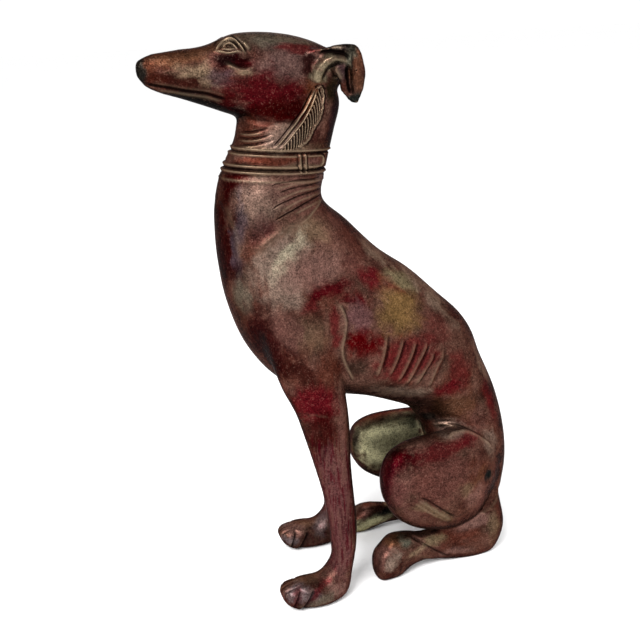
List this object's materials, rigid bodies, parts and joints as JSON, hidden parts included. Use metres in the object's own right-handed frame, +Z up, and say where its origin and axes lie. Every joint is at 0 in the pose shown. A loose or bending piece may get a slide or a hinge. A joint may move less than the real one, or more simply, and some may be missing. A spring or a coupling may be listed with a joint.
{
  "type": "whippet sculpture",
  "caption": "Life-size seated whippet cast in bronze, head raised, folded ears, carved collar, red and brown patina.",
  "frame": {"origin": "centre of the bounding box's bottom, on the floor under the dog", "axes": "+Z up, the dog faces -X, its left side is toward -Y"},
  "size_m": [0.4628, 0.1938, 0.7174],
  "materials": {
    "patinated_bronze": "satin cast bronze, oxblood and olive patina"
  },
  "bodies": {
    "root": {"whippet_casting": "patinated_bronze"}
  },
  "joints": []
}
